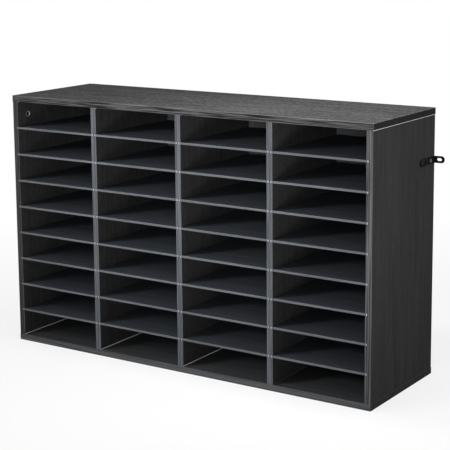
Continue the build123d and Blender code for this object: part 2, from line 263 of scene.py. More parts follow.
# %% [markdown]
# ## Studio light
#
# In the photograph the front edges are the brightest, the shelves are lit only along their fronts,
# the top has a sheen that grows to the right, and the right side is the darkest. One broad lamp
# would light every compartment alike, so five soft ones share the work. The key stands high at the
# left front and draws the lit strips. A second lamp on the left is lower and reaches deeper. One
# beside the camera lights the left walls, and one above the right half of the top makes the sheen.
# The last is low at the right front: it lights the walls from below and shades the right side.

# %% Lamps
# For each lamp: its place, what it is aimed at, width, height, power in watts and spread in degrees
LAMPS = {
    "camera_softbox": ((1.65, -2.6, 0.92), (-0.02, -0.15, 0.58), 0.6, 0.4, 0.95, 28),
    "left_softbox": ((-1.62, -1.77, 1.64), (0.0, -0.15, 0.42), 0.45, 0.35, 9.5, 180),
    "low_softbox": ((-1.5, -2.3, 1.2), (0.05, -0.15, 0.42), 0.6, 0.4, 1.5, 28),
    "top_softbox": ((0.34, -0.14, 1.15), (0.34, -0.2, 0.62), 0.7, 0.1, 5.4, 150),
    "side_softbox": ((1.93, -1.15, 0.2), (0.35, -0.15, 0.5), 0.4, 0.3, 0.5, 34),
}
for name, (place, target, wide, high, watts, spread) in LAMPS.items():
    light = bpy.data.lights.new(name, "AREA")
    light.shape = "RECTANGLE"
    light.size = wide
    light.size_y = high
    light.energy = watts
    light.spread = math.radians(spread)
    lamp = put_in_scene(name, light)
    aim = (Vector(target) - Vector(place)).to_track_quat("-Z", "Y")
    lamp.matrix_world = Matrix.Translation(place) @ aim.to_matrix().to_4x4()
    lamp.visible_camera = False
    print(name, watts, "W,", wide, "by", high, "m")

# %% [markdown]
# ## The printed grain
#
# The foil is paper printed with an oak figure and embossed with short pores. An image would be the
# usual way, but stretched noise does it without a file: slow streaks for the figure, fine ones for
# the fibres, and a thresholded layer of short dashes for the pores. Long lines and short ticks are
# for the edge bands, and small flecks break up the faces. One node group holds all six with the
# grain along X, and a Mapping node turns it for boards that stand.

# %% Grain pattern
# For each layer: features to the metre along and across the grain, detail and roughness of the noise,
# and the noise levels that become 0 and 1
LAYERS = {
    "Figure": (4.5, 105, 4, 0.62, 0.34, 0.66),
    "Fibre": (28, 760, 2, 0.5, 0.30, 0.70),
    "Pores": (95, 2100, 1, 0.5, 0.60, 0.70),
    "Lines": (3.5, 300, 2, 0.6, 0.36, 0.64),
    "Ticks": (12, 520, 2, 0.6, 0.40, 0.60),
    "Flecks": (120, 170, 3, 0.6, 0.36, 0.64),
}
SWAY_STREAKS = (2.4, 9, 2)
SWAY = 8 * MM


def streaks(tree, place, along, across, detail, roughness=0.5):
    """Noise drawn out along X: so many features to the metre along and across the grain."""
    stretch = (along, across, across)
    drawn = add_node(tree, "ShaderNodeVectorMath", {0: place, 1: stretch}, operation="MULTIPLY").outputs[0]
    sockets = {"Vector": drawn, "Scale": 1.0, "Detail": detail, "Roughness": roughness}
    return add_node(tree, "ShaderNodeTexNoise", sockets).outputs[0]


grain = bpy.data.node_groups.new("printed_oak", "ShaderNodeTree")
grain.interface.new_socket("Place", in_out="INPUT", socket_type="NodeSocketVector")
for label in LAYERS:
    grain.interface.new_socket(label, in_out="OUTPUT", socket_type="NodeSocketFloat")
place = add_node(grain, "NodeGroupInput").outputs["Place"]
sway = sum_up(grain, "MULTIPLY_ADD", streaks(grain, place, *SWAY_STREAKS), 2 * SWAY, -SWAY)
bend = add_node(grain, "ShaderNodeCombineXYZ", {1: sway, 2: sway}).outputs[0]
bent = add_node(grain, "ShaderNodeVectorMath", {0: place, 1: bend}, operation="ADD").outputs[0]
layers = {}
for label, (along, across, detail, roughness, low, high) in LAYERS.items():
    way = place if label == "Ticks" else bent
    layers[label] = ramp(grain, streaks(grain, way, along, across, detail, roughness), low, high)
add_node(grain, "NodeGroupOutput", layers)
print("grain group has", len(grain.nodes), "nodes")

# %% [markdown]
# ## Places on a board
#
# Some marks belong to a place, not to the print. A shelf's front is painted pale at both ends, close to the
# uprights, partly as the band's raw ends and partly as a painted highlight. Where an upright meets the top or
# the base, a thin pale line is painted. Broken edges get a painted highlight. Painting masks by hand would
# need an image, so each place is found by its coordinates, and a broken edge by its slanted normal.

# %% Places on a board
PALE_END = 1.6 * MM
JOINT_LINE_LOW = 1.8 * MM
JOINT_LINE_HIGH = 1.2 * MM
SIDE_FOIL = 1.0 * MM
SQUARE_TO_AXIS = 0.9


def at_shelf_end(tree, x):
    """1 at the ends of a shelf, close to an upright, else 0."""
    steps = sum_up(tree, "DIVIDE", x, upright_pitch)
    off = sum_up(tree, "ABSOLUTE", minus(tree, steps, sum_up(tree, "ROUND", steps)))
    return sum_up(tree, "LESS_THAN", off, (shelf_end_gap + PALE_END) / upright_pitch)


def on_joint_line(tree, x, z):
    """1 in a thin band where an upright meets the top or the base, else 0."""
    inside = sum_up(tree, "LESS_THAN", sum_up(tree, "ABSOLUTE", x), side_face_x - SIDE_FOIL)
    low = times(tree, sum_up(tree, "LESS_THAN", z, floor_z + JOINT_LINE_LOW), inside)
    high = sum_up(tree, "GREATER_THAN", z, ceiling_z - JOINT_LINE_HIGH)
    return sum_up(tree, "MAXIMUM", low, high)


def on_broken_edge(tree):
    """1 on faces that are square to no axis, else 0."""
    normal = add_node(tree, "ShaderNodeNewGeometry").outputs["True Normal"]
    slant = add_node(tree, "ShaderNodeVectorMath", {0: normal}, operation="ABSOLUTE").outputs[0]
    x, y, z = add_node(tree, "ShaderNodeSeparateXYZ", {0: slant}).outputs
    longest = sum_up(tree, "MAXIMUM", x, sum_up(tree, "MAXIMUM", y, z))
    return sum_up(tree, "LESS_THAN", longest, SQUARE_TO_AXIS)


print("shelf ends are pale over", round(PALE_END / MM, 2), "mm")

# %% [markdown]
# ## Foil-faced board
#
# One function dresses every board, because they differ only in a few tones. The faces get the dark print, and
# the front edge gets its band, found as the plane of the front. Ends, pale joint lines and painted edge
# highlights go over them. Numbers that hold for the whole surface sit on the shader's own sockets.

# %% Start and end of a finish
GRAIN_ALONG_X = (0, 0, 0)
GRAIN_ALONG_Z = (0, math.radians(90), 0)


def start_finish(name, grain_turn):
    """A new material, its tree, the place on the piece, and that place turned with the grain."""
    material = bpy.data.materials.new(name)
    material.use_nodes = True
    tree = material.node_tree
    place = add_node(tree, "ShaderNodeTexCoord").outputs["Object"]
    laid = add_node(tree, "ShaderNodeMapping", {"Vector": place, "Rotation": grain_turn}).outputs[0]
    return material, tree, place, laid


def end_finish(tree, colour, roughness, gloss, metal, height, relief, depth):
    """Fill the shader's sockets. The height is a pattern, raised by a relief share of the depth."""
    bump = add_node(tree, "ShaderNodeBump", {"Height": height, "Strength": relief, "Distance": depth})
    sockets = {"Base Color": colour, "Roughness": roughness, "Normal": bump.outputs[0]}
    sockets |= {"Specular IOR Level": gloss, "Metallic": metal}
    for key, value in sockets.items():
        fill(tree, tree.nodes["Principled BSDF"].inputs[key], value)


print("grain is turned", round(math.degrees(GRAIN_ALONG_Z[1])), "degrees for boards that stand")

# %% Board finish
BAND_DEPTH = 0.45 * MM
FIGURE_SHARE = 0.65
FIBRE_SHARE = 0.35
FEW_FLECKS = 0.1
PORE_SHARE = 0.55
PORE_TONE = tone(14)
# Broken edges are painted lighter in this tone: a painted highlight where the chamfers catch the light.
EDGE_HIGHLIGHT = tone(128, cool=3)
EDGE_HIGHLIGHT_SHARE = (0.25, 0.85)
FOIL_GLOSS = 0.02
FOIL_ROUGHNESS = (0.74, 0.64)
FIBRE_RELIEF = 0.35
FOIL_RELIEF = 0.22
PORE_DEPTH = 0.25 * MM


def board_finish(
    name, grain_turn, face, band, band_y, ends=None, raw=None, end_highlights=None, edge_highlight=EDGE_HIGHLIGHT,
    band_print="Lines", fleck_share=FEW_FLECKS,
):
    """A foil-faced board. face, band and ends are pairs of tones, dark and light.

    end_highlights is a pair too: a shelf's pale ends, partly their raw band ends and partly a painted
    highlight, and the dimmer tone beside the left panel, which is painted shade.
    """
    material, tree, place, laid = start_finish(name, grain_turn)
    x, y, z = add_node(tree, "ShaderNodeSeparateXYZ", {0: place}).outputs
    layer = add_node(tree, "ShaderNodeGroup", {"Place": laid}, node_tree=grain).outputs

    share = times(tree, layer["Figure"], FIGURE_SHARE)
    share = sum_up(tree, "MULTIPLY_ADD", layer["Fibre"], FIBRE_SHARE, share)
    share = sum_up(tree, "MULTIPLY_ADD", minus(tree, layer["Flecks"], 0.5), fleck_share, share)
    colour = mix_tone(tree, share, *face)
    colour = mix_tone(tree, times(tree, layer["Pores"], PORE_SHARE), colour, PORE_TONE)
    on_band = sum_up(tree, "LESS_THAN", y, band_y + BAND_DEPTH)
    banded = mix_tone(tree, layer[band_print], *band)
    # Painted highlight on a shelf band's ends, and painted shade on those beside the left panel.
    if end_highlights:
        beside_left = sum_up(tree, "LESS_THAN", x, upright_x[0] + upright_pitch / 2)
        banded = mix_tone(tree, at_shelf_end(tree, x), banded, mix_tone(tree, beside_left, *end_highlights))
    colour = mix_tone(tree, on_band, colour, banded)
    if ends:
        at_end = sum_up(tree, "GREATER_THAN", sum_up(tree, "ABSOLUTE", x), top_end_x - BAND_DEPTH)
        colour = mix_tone(tree, at_end, colour, mix_tone(tree, share, *ends))
    # A thin pale line is painted where an upright meets the top or the base, darker on the last divider.
    if raw:
        on_joint = times(tree, on_joint_line(tree, x, z), minus(tree, 1.0, on_band))
        colour = mix_tone(tree, on_joint, colour, raw)
    # Painted highlight: the broken edges are painted lighter, as if they caught the light.
    highlighted = times(tree, on_broken_edge(tree), ramp(tree, layer["Figure"], 0, 1, *EDGE_HIGHLIGHT_SHARE))
    colour = mix_tone(tree, highlighted, colour, edge_highlight)

    roughness = ramp(tree, share, 0, 1, *FOIL_ROUGHNESS)
    height = minus(tree, times(tree, layer["Fibre"], FIBRE_RELIEF), layer["Pores"])
    end_finish(tree, colour, roughness, FOIL_GLOSS, 0.0, height, FOIL_RELIEF, PORE_DEPTH)
    return material


print("foil gloss", FOIL_GLOSS, "and roughness", FOIL_ROUGHNESS)

# %% [markdown]
# ## The boards' tones
#
# Each kind of board has its own pair of tones for the face and for the band. One pair for all would be
# simpler, but the photograph's boards differ too much, so the tones were matched one board at a time. The
# foil is the same on every board, so these differences are partly painted light and shade: the shelves and
# the back boards are painted lighter to lift the shade inside the compartments. The thin line at the joints
# is pale on most uprights and darker on the last divider, and a shelf's end highlights are painted dimmer
# beside the left panel, as painted shade.

# %% Board tones
TOP_FACE = (tone(34), tone(76))
TOP_BAND = (tone(32), tone(92))
TOP_ENDS = (tone(32), tone(46))
TOP_FLECKS = 0.7
BASE_FACE = (tone(60, cool=3), tone(76, cool=4))
BASE_BAND = (tone(69, cool=4), tone(97, cool=4))
BASE_ENDS = (tone(50), tone(64))
# The base's painted edge highlight is dimmer.
BASE_EDGE_HIGHLIGHT = tone(82)
DIVIDER_FACE = (tone(48), tone(59))
DIVIDER_BAND = (tone(73, cool=8), tone(101, cool=8))
LEFT_FACE = (tone(54), tone(66))
LEFT_BAND = (tone(50), tone(70))
RIGHT_FACE = (tone(51), tone(64))
RIGHT_BAND = (tone(54, cool=3), tone(111, cool=4))
UPRIGHT_FLECKS = 0.6
# Tones of the thin line along the uprights' joints: pale on most, darker on the last divider.
PALE_JOINT_TONE = tone(232)
DARK_JOINT_TONE = tone(86)
# Painted light: the shelves and the back boards are painted lighter than the outer boards, to lift the shade
# inside the compartments.
SHELF_FACE = (tone(58, cool=9), tone(72, cool=10))
SHELF_BAND = (tone(90, cool=8), tone(107, cool=8))
# A shelf's pale band ends: partly raw band ends, partly painted highlight. The second, dimmer tone beside the
# left panel is painted shade.
SHELF_END_HIGHLIGHTS = (tone(200), tone(130))
BACK_FACE = (tone(88), tone(104))
print("raw board is", round(PALE_JOINT_TONE[0], 3), "and a stained cut line", round(DARK_JOINT_TONE[0], 3))

# %% Board finishes
top = board_finish(
    "lying_board_foil", GRAIN_ALONG_X, TOP_FACE, TOP_BAND, front_y,
    ends=TOP_ENDS, band_print="Ticks", fleck_share=TOP_FLECKS,
)
base = board_finish(
    "base_board_foil", GRAIN_ALONG_X, BASE_FACE, BASE_BAND, front_y, ends=BASE_ENDS, edge_highlight=BASE_EDGE_HIGHLIGHT
)
divider = board_finish(
    "divider_foil", GRAIN_ALONG_Z, DIVIDER_FACE, DIVIDER_BAND, front_y,
    raw=PALE_JOINT_TONE, fleck_share=UPRIGHT_FLECKS,
)
last_divider = board_finish(
    "last_divider_foil", GRAIN_ALONG_Z, DIVIDER_FACE, DIVIDER_BAND, front_y,
    raw=DARK_JOINT_TONE, fleck_share=UPRIGHT_FLECKS,
)
left_side = board_finish(
    "left_side_foil", GRAIN_ALONG_Z, LEFT_FACE, LEFT_BAND, front_y, raw=PALE_JOINT_TONE, fleck_share=UPRIGHT_FLECKS
)
right_side = board_finish(
    "right_side_foil", GRAIN_ALONG_Z, RIGHT_FACE, RIGHT_BAND, front_y, raw=PALE_JOINT_TONE
)
shelf = board_finish(
    "shelf_foil", GRAIN_ALONG_X, SHELF_FACE, SHELF_BAND, shelf_front_y, end_highlights=SHELF_END_HIGHLIGHTS
)
back = board_finish("back_board_foil", GRAIN_ALONG_Z, BACK_FACE, BACK_FACE, front_y)
print("the top's finish has", len(top.node_tree.nodes), "nodes")

# %% Dress the boards
BACKS = sorted(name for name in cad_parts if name.startswith("back_panel_"))

finishes = {"top_panel": top, "bottom_panel": base}
finishes |= dict(zip(UPRIGHTS, (left_side, divider, divider, last_divider, right_side)))
finishes |= {name: shelf for name in SHELVES}
finishes |= {name: back for name in BACKS}
for name, finish in finishes.items():
    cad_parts[name].material_slots[0].material = finish
print(len(finishes), "boards dressed in", len(set(finishes.values())), "finishes")

# %% [markdown]
# ## Finishes of the fittings
#
# The fittings are cast zinc cams, plated bolts and base screws, bracket screws in a darker, rougher zinc,
# painted straps and beech pegs. Cast zinc is dull and faintly mottled, plating is brighter and bluer, paint
# dries with a fine orange-peel skin, and beech has short flecks along its grain. They could be five separate
# graphs, but the build is the same: one noise moves colour and roughness together, and a finer one gives the
# skin its relief.

# %% Fitting finish
BOARD = 15 * MM
MOTTLE_DETAIL = 3
MOTTLE_RANGE = (0.3, 0.7)
SKIN_DETAIL = 1
SKIN_RELIEF = 0.25
SKIN_DEPTH = 0.08 * MM


def fitting_finish(
    name, colours, roughness, metal, gloss, mottle, skin, grain_turn=GRAIN_ALONG_X, sunk=None
):
    """A small part's finish. mottle and skin are features to the metre along and across X.

    sunk is a depth under an upright's face and the tone of painted shade for whatever lies deeper.
    """
    material, tree, place, laid = start_finish(name, grain_turn)
    share = ramp(tree, streaks(tree, laid, *mottle, MOTTLE_DETAIL), *MOTTLE_RANGE)
    colour = mix_tone(tree, share, *colours)
    # Painted shade: everything sunk deeper than the depth under the face is painted dark.
    if sunk:
        depth, shade = sunk
        x = add_node(tree, "ShaderNodeSeparateXYZ", {0: place}).outputs[0]
        off = sum_up(tree, "PINGPONG", x, upright_pitch / 2)
        colour = mix_tone(tree, sum_up(tree, "LESS_THAN", off, BOARD / 2 - depth), colour, shade)
    height = streaks(tree, laid, *skin, SKIN_DETAIL)
    rough = ramp(tree, share, 0, 1, *roughness)
    end_finish(tree, colour, rough, gloss, metal, height, SKIN_RELIEF, SKIN_DEPTH)
    return material


print("skin relief", SKIN_RELIEF, "of", SKIN_DEPTH / MM, "mm")

# %% Zinc, steel, paint and beech
# The cam's sunk middle is painted dark: painted shade in the hollow.
CAM_SUNK = 1.25 * MM
CAM_SHADE = tone(34)

cast_zinc = fitting_finish(
    "cast_zinc", colours=(tone(184, cool=3), tone(212, cool=4)), roughness=(0.52, 0.42), metal=0.6, gloss=0.5,
    mottle=(420, 420), skin=(3200, 3200), sunk=(CAM_SUNK, CAM_SHADE),
)
plated_steel = fitting_finish(
    "plated_steel", colours=(tone(158, cool=6), tone(188, cool=8)), roughness=(0.36, 0.24), metal=1.0,
    gloss=0.5, mottle=(300, 300), skin=(5200, 5200),
)
strap_paint = fitting_finish(
    "black_strap_paint", colours=(tone(14), tone(22)), roughness=(0.54, 0.42), metal=0.0, gloss=0.02,
    mottle=(160, 160), skin=(1500, 1500),
)
# A darker and rougher zinc than the plated steel, for the bracket screws.
darker_zinc = fitting_finish(
    "darker_zinc", colours=(tone(84, cool=4), tone(108, cool=5)), roughness=(0.54, 0.42), metal=1.0, gloss=0.5,
    mottle=(300, 300), skin=(5200, 5200),
)
beech = fitting_finish(
    "beech_wood", colours=(tone(158, warm=34), tone(186, warm=30)), roughness=(0.78, 0.62), metal=0.0,
    gloss=0.2, mottle=(60, 900), skin=(140, 2600), grain_turn=GRAIN_ALONG_Z,
)
fitting_finishes = (cast_zinc, plated_steel, strap_paint, darker_zinc, beech)
print("fitting finishes:", [finish.name for finish in fitting_finishes])

# %% [markdown]
# ## Tools for turned pieces
#
# Cams, bolts, screws and pegs are all turned: a profile swept round an axis. A Screw modifier would do,
# but each piece repeats by a rule, so Geometry Nodes make both the shape and its copies. A flat grid has
# a row of points for each ring of the profile; rolled up round Z and welded at the seam it is the turned
# surface. Listing the rings from the top down makes the faces look outwards. A thread is the same roll,
# with a radius that rises and falls along a helix.

# %% Geometry Nodes helpers
WELD = 0.001 * MM


def start_tree(name, labels):
    """A Geometry Nodes tree with a named length input for each label."""
    tree = bpy.data.node_groups.new(name, "GeometryNodeTree")
    tree.is_modifier = True
    for label in labels:
        length = tree.interface.new_socket(label, in_out="INPUT", socket_type="NodeSocketFloat")
        length.subtype = "DISTANCE"
    tree.interface.new_socket("Geometry", in_out="OUTPUT", socket_type="NodeSocketGeometry")
    return tree, add_node(tree, "NodeGroupInput").outputs


def point(tree, x, y, z):
    """A vector of three values."""
    return add_node(tree, "ShaderNodeCombineXYZ", {0: x, 1: y, 2: z}).outputs[0]


def pick(tree, number, values):
    """One of the values, chosen by its number."""
    switch = add_node(tree, "GeometryNodeIndexSwitch", data_type="FLOAT")
    while len(switch.index_switch_items) < len(values):
        switch.index_switch_items.new()
    for slot, value in enumerate([number] + list(values)):
        fill(tree, switch.inputs[slot], value)
    return switch.outputs[0]


def weld(tree, *parts):
    """Surfaces joined where their rings meet."""
    joined = add_node(tree, "GeometryNodeJoinGeometry")
    for part in parts:
        tree.links.new(part, joined.inputs[0])
    sockets = {"Geometry": joined.outputs[0], "Distance": WELD}
    return add_node(tree, "GeometryNodeMergeByDistance", sockets).outputs[0]


print("surfaces are welded within", WELD / MM, "mm")


# %% Turning helpers
def rolled(tree, rings, sides, shape):
    """A grid rolled up round Z. shape gives a radius and a height for a ring's number and an angle."""
    around = sides + 1
    grid = add_node(tree, "GeometryNodeMeshGrid", {"Vertices X": rings, "Vertices Y": around})
    index = add_node(tree, "GeometryNodeInputIndex").outputs[0]
    ring = sum_up(tree, "FLOOR", sum_up(tree, "DIVIDE", index, around))
    angle = times(tree, sum_up(tree, "MODULO", index, around), math.tau / sides)
    radius, height = shape(ring, angle)
    x = times(tree, radius, sum_up(tree, "COSINE", angle))
    y = times(tree, radius, sum_up(tree, "SINE", angle))
    sockets = {"Geometry": grid.outputs[0], "Position": point(tree, x, y, height)}
    return add_node(tree, "GeometryNodeSetPosition", sockets).outputs[0]


def turned(tree, profile, sides, flutes=0, flute_depth=0.0):
    """A turned surface from rings of (radius, height), with straight flutes if wanted."""

    def shape(ring, angle):
        radius = pick(tree, ring, [ring_radius for ring_radius, _ in profile])
        if flutes:
            wave = sum_up(tree, "COSINE", times(tree, angle, flutes))
            hollow = sum_up(tree, "MULTIPLY_ADD", wave, flute_depth / 2, flute_depth / 2)
            radius = times(tree, radius, minus(tree, 1.0, hollow))
        return radius, pick(tree, ring, [ring_height for _, ring_height in profile])

    return rolled(tree, len(profile), sides, shape)


print("helpers for turned surfaces ready")


# %% Thread helpers
def thread(tree, high, low, core, crest, pitch, sides, rings):
    """A threaded sleeve between two heights, running out to the core at both ends."""

    def shape(ring, angle):
        height = ramp(tree, ring, 0, rings - 1, high, low)
        climb = sum_up(tree, "DIVIDE", height, pitch)
        turns = minus(tree, climb, sum_up(tree, "DIVIDE", angle, math.tau))
        rise = times(tree, sum_up(tree, "PINGPONG", turns, 0.5), 2.0)
        near_end = sum_up(tree, "MINIMUM", ring, minus(tree, rings - 1, ring))
        rise = times(tree, rise, sum_up(tree, "MINIMUM", near_end, 1.0))
        return sum_up(tree, "MULTIPLY_ADD", rise, minus(tree, crest, core), core), height

    return rolled(tree, rings, sides, shape)


def threaded(tree, size, upper, lower, sides, rings):
    """A turned piece in two lengths, with a thread from the last upper ring to the first lower one."""
    core, high = upper[-1]
    low = lower[0][1]
    sleeve = thread(tree, high, low, core, size["Thread crest"], size["Thread pitch"], sides, rings)
    return weld(tree, turned(tree, upper, sides), sleeve, turned(tree, lower, sides))


print("helpers for threads ready")

# %% [markdown]
# ## Tools for recesses
#
# Recesses, such as a screw's cross or a cam's chamber, are cut out of the turned body. They could be
# modelled into the mesh by hand, but a boolean with simple cutters follows the sizes on its own.


# %% Simple cutters
def moved(tree, shape, place, turn=(0, 0, 0)):
    """A shape turned and put in its place."""
    sockets = {"Geometry": shape, "Translation": place, "Rotation": turn}
    return add_node(tree, "GeometryNodeTransform", sockets).outputs[0]


def block(tree, size, place):
    """A box round a place."""
    return moved(tree, add_node(tree, "GeometryNodeMeshCube", {"Size": size}).outputs[0], place)


def rod(tree, sides, radius, length, place, turn=(0, 0, 0)):
    """A many-sided rod round a place, along Z before it is turned."""
    sockets = {"Vertices": sides, "Radius": radius, "Depth": length}
    return moved(tree, add_node(tree, "GeometryNodeMeshCylinder", sockets).outputs[0], place, turn)


print("blocks and rods ready")

# %% Slots, crosses and carving
ARC_POINTS = 40


def wedge(tree, radius, start, sweep, height, middle):
    """A slice of a disc, from a start angle over a sweep."""
    sockets = {"Resolution": ARC_POINTS, "Radius": radius, "Start Angle": start, "Sweep Angle": sweep}
    sockets["Connect Center"] = True
    slice_rim = add_node(tree, "GeometryNodeCurveArc", sockets, mode="RADIUS").outputs[0]
    sheet = add_node(tree, "GeometryNodeFillCurve", {0: slice_rim}, mode="NGONS").outputs[0]
    rise = {"Mesh": sheet, "Offset": point(tree, 0, 0, 1), "Offset Scale": height, "Individual": False}
    lid = add_node(tree, "GeometryNodeExtrudeMesh", rise, mode="FACES").outputs[0]
    foot = add_node(tree, "GeometryNodeFlipFaces", {0: sheet}).outputs[0]
    low = sum_up(tree, "MULTIPLY_ADD", height, -0.5, middle)
    return moved(tree, weld(tree, lid, foot), point(tree, 0, 0, low))


def cross(tree, size, face_z):
    """Two crossed bars, sunk below a face."""
    span, bar = size["Cross span"], size["Cross bar"]
    tall = times(tree, size["Cross depth"], 2.0)
    middle = point(tree, 0, 0, face_z)
    bars = point(tree, span, bar, tall), point(tree, bar, span, tall)
    return [block(tree, bar_size, middle) for bar_size in bars]


def carve(tree, body, sides, *cutters):
    """A turned body with the cutters taken out. Half a side's turn keeps their corners off its edges."""
    made = add_node(tree, "GeometryNodeMeshBoolean", operation="DIFFERENCE", solver="EXACT")
    tree.links.new(moved(tree, body, (0, 0, 0), (0, 0, math.pi / sides)), made.inputs["Mesh 1"])
    for cutter in cutters:
        tree.links.new(cutter, made.inputs["Mesh 2"])
    return made.outputs[0]


print("slots are cut with arcs of", ARC_POINTS, "points")

# %% [markdown]
# ## Setting the pieces out
#
# Each fastener repeats on a rule: two to an upright, or one to a side. A small grid or line of points
# carries the copies, which are then made real and given their finish, because an export keeps no copies.
# The result becomes a plain mesh that replaces the plainer CAD piece and moves with the cabinet.

# %% Setting-out helpers
FASTENERS_EACH = 2
FASTENER_SPREAD = 228 * MM


def along_uprights(tree, size, shift):
    """A row of points on each upright, shifted to their place."""
    across = times(tree, size["Upright pitch"], len(UPRIGHTS) - 1)
    sockets = {"Size X": across, "Size Y": size["Spread"]}
    sockets |= {"Vertices X": len(UPRIGHTS), "Vertices Y": FASTENERS_EACH}
    grid = add_node(tree, "GeometryNodeMeshGrid", sockets).outputs[0]
    return add_node(tree, "GeometryNodeSetPosition", {"Geometry": grid, "Offset": shift}).outputs[0]


def facing(tree, side, first_axis):
    """The turn that points a piece's Z to +X or -X, with its X along the first axis."""
    sockets = {"Primary Axis": point(tree, side, 0, 0), "Secondary Axis": first_axis}
    axes = {"primary_axis": "Z", "secondary_axis": "X"}
    return add_node(tree, "FunctionNodeAxesToRotation", sockets, **axes).outputs[0]


def set_out(tree, piece, points, finish, turn=None):
    """Copies of a piece on the points, made real and dressed."""
    sockets = {"Points": points, "Instance": piece}
    if turn:
        sockets["Rotation"] = turn
    copies = add_node(tree, "GeometryNodeInstanceOnPoints", sockets).outputs[0]
    real = add_node(tree, "GeometryNodeRealizeInstances", {0: copies}).outputs[0]
    dressed = add_node(tree, "GeometryNodeSetMaterial", {"Geometry": real, "Material": finish}).outputs[0]
    add_node(tree, "NodeGroupOutput", {0: dressed})


print("fasteners stand", FASTENER_SPREAD / MM, "mm apart on each upright")

# %% Handing pieces over
SMOOTH_BELOW = math.radians(32)


def hand_over(piece, modifier, node):
    """Make a modifier's result a plain mesh that replaces a CAD node and moves with the cabinet."""
    graph = bpy.context.evaluated_depsgraph_get()
    mesh = bpy.data.meshes.new_from_object(piece.evaluated_get(graph))
    piece.modifiers.remove(modifier)
    piece.data = mesh
    mesh.shade_smooth()
    mesh.set_sharp_from_angle(angle=SMOOTH_BELOW)
    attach(piece, "carcass")
    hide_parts(node)
    mesh.calc_loop_triangles()
    print(piece.name, "has", len(mesh.loop_triangles), "triangles")


def build(name, tree, sizes, node):
    """Run a tree with its sizes and hand the piece over."""
    piece = put_in_scene(name, bpy.data.meshes.new(name + "_start"))
    maker = piece.modifiers.new("maker", "NODES")
    maker.node_group = tree
    for socket in tree.interface.items_tree:
        if socket.in_out == "INPUT":
            maker[socket.identifier] = sizes[socket.name]
    hand_over(piece, maker, node)


print("edges under", round(math.degrees(SMOOTH_BELOW)), "degrees are shaded smooth")

# %% [markdown]
# ## Cam locks
#
# One of them shows in the photograph, as a grey disc high on the wall of the first column. A cam lock is a
# zinc casting with a cross for the screwdriver, an arrow that shows which way it is open, and a hollow that
# grips the bolt's head. The face is a bright ring round a sunk middle, which is painted dark as painted
# shade. Seen from the side, the middle hides its near slope and shows its far one, so that the disc looks
# like a crescent.

# %% Cam lock sizes
CAM_DROP = 34 * MM
cam_sizes = {
    "Upright pitch": upright_pitch, "Spread": FASTENER_SPREAD, "Board": BOARD, "Level": ceiling_z - CAM_DROP,
    "Radius": 7.35 * MM, "Face depth": 0.3 * MM, "Foot depth": 12.5 * MM,
    "Rim bevel": 0.3 * MM, "Ring inset": 1.1 * MM, "Dish inset": 3.0 * MM, "Foot bevel": 0.4 * MM,
    "Dish depth": 1.5 * MM, "Middle depth": 1.6 * MM,
    "Cross span": 7.0 * MM, "Cross bar": 1.6 * MM, "Cross depth": 2.27 * MM,
    "Arrow inset": 2.2 * MM, "Arrow radius": 1.5 * MM, "Arrow depth": 0.6 * MM,
    "Chamber radius": 5.15 * MM, "Chamber height": 7.4 * MM,
    "Port radius": 3.66 * MM, "Neck slot": 5.1 * MM, "Cut past rim": 1.0 * MM,
}
SLOT_START = math.radians(-40)
SLOT_SWEEP = math.radians(230)
CAM_SIDES = 48
CHAMBER_SIDES = 40
PORT_SIDES = 28
ARROW_SIDES = 3
print("cam locks are", round(2 * cam_sizes["Radius"] / MM, 2), "mm across")

# %% Cam lock casting
tree, size = start_tree("cam_lock_maker", cam_sizes)
face_z = times(tree, size["Face depth"], -1.0)
foot_z = times(tree, size["Foot depth"], -1.0)
bolt_z = times(tree, size["Board"], -0.5)


def inside(label):
    """A radius so far inside the cam's rim."""
    return minus(tree, size["Radius"], size[label])


rim = [(0.0, minus(tree, face_z, size["Middle depth"]))]
rim += [(inside("Dish inset"), minus(tree, face_z, size["Dish depth"]))]
rim += [(inside("Ring inset"), face_z), (inside("Rim bevel"), face_z)]
rim += [(size["Radius"], minus(tree, face_z, size["Rim bevel"]))]
rim += [(size["Radius"], plus(tree, foot_z, size["Foot bevel"]))]
rim += [(inside("Foot bevel"), foot_z), (0.0, foot_z)]
disc = weld(tree, turned(tree, rim, CAM_SIDES))

arrow_height = times(tree, size["Arrow depth"], 2.0)
arrow_place = point(tree, inside("Arrow inset"), 0, face_z)
arrow = rod(tree, ARROW_SIDES, size["Arrow radius"], arrow_height, arrow_place)
bolt_place = point(tree, 0, 0, bolt_z)
chamber = rod(tree, CHAMBER_SIDES, size["Chamber radius"], size["Chamber height"], bolt_place)
reach = plus(tree, size["Radius"], size["Cut past rim"])
half_reach = sum_up(tree, "DIVIDE", reach, 2.0)
port_turn = SLOT_START + SLOT_SWEEP
port_x = times(tree, half_reach, math.cos(port_turn))
port_y = times(tree, half_reach, math.sin(port_turn))
port_place = point(tree, port_x, port_y, bolt_z)
port = rod(tree, PORT_SIDES, size["Port radius"], reach, port_place, (0, math.radians(90), port_turn))
neck_slot = wedge(tree, reach, SLOT_START, SLOT_SWEEP, size["Neck slot"], bolt_z)
cam = carve(tree, disc, CAM_SIDES, chamber, neck_slot, port, arrow, *cross(tree, size, face_z))
print("cam lock tree has", len(tree.nodes), "nodes so far")

# %% [markdown]
# The cams of the left panel face right and all others face left. The grid of points counts along each
# upright in turn, so the first upright has the lowest numbers, and the side follows from the number.

# %% Cam locks in place
index = add_node(tree, "GeometryNodeInputIndex").outputs[0]
on_first = sum_up(tree, "LESS_THAN", index, FASTENERS_EACH - 0.5)
side = sum_up(tree, "MULTIPLY_ADD", on_first, 2.0, -1.0)
face_x = times(tree, side, sum_up(tree, "DIVIDE", size["Board"], 2.0))
points = along_uprights(tree, size, point(tree, face_x, 0, size["Level"]))
set_out(tree, cam, points, cast_zinc, facing(tree, side, (0, 0, 1)))
build("detailed_cam_locks", tree, cam_sizes, "cam_locks")

